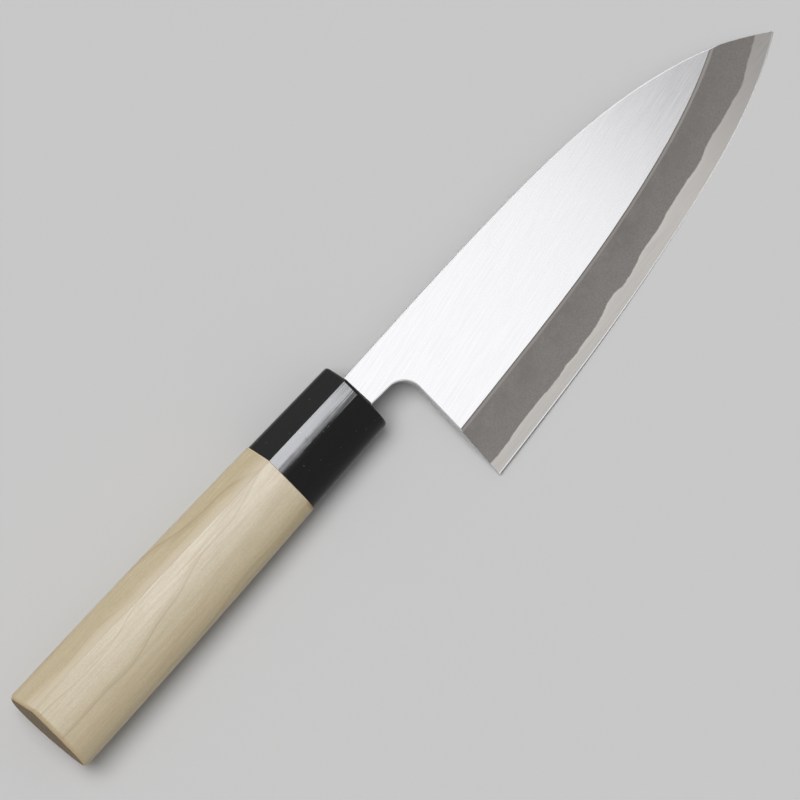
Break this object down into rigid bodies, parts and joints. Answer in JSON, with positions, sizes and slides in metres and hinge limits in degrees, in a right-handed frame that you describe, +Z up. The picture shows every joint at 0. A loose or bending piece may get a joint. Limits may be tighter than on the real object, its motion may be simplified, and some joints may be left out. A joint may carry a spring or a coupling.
{
  "type": "deba knife",
  "caption": "Heavy single-bevel fish knife: thick two-layer steel blade with a hollow back, straight heel and curved edge, on a chestnut-section wooden handle with a dark ferrule.",
  "frame": {"origin": "on the table under the middle of the knife, which lies on its back face with the ground face up", "axes": "+X along the knife to the tip, +Y to the spine, +Z up from the table, out of the ground face"},
  "size_m": [0.2951, 0.0607, 0.0251],
  "materials": {
    "soft_iron": "satin ground flat, hazy matte bevel",
    "hard_steel": "stone polished",
    "ferrule_black": "polished black",
    "magnolia_wood": "plain sanded, unsealed",
    "bedding_resin": "cast, hidden"
  },
  "bodies": {
    "root": {"soft_iron_body": "soft_iron", "hard_steel_edge": "hard_steel", "ferrule": "ferrule_black", "wooden_handle": "magnolia_wood", "tang_bedding": "bedding_resin"}
  },
  "joints": []
}
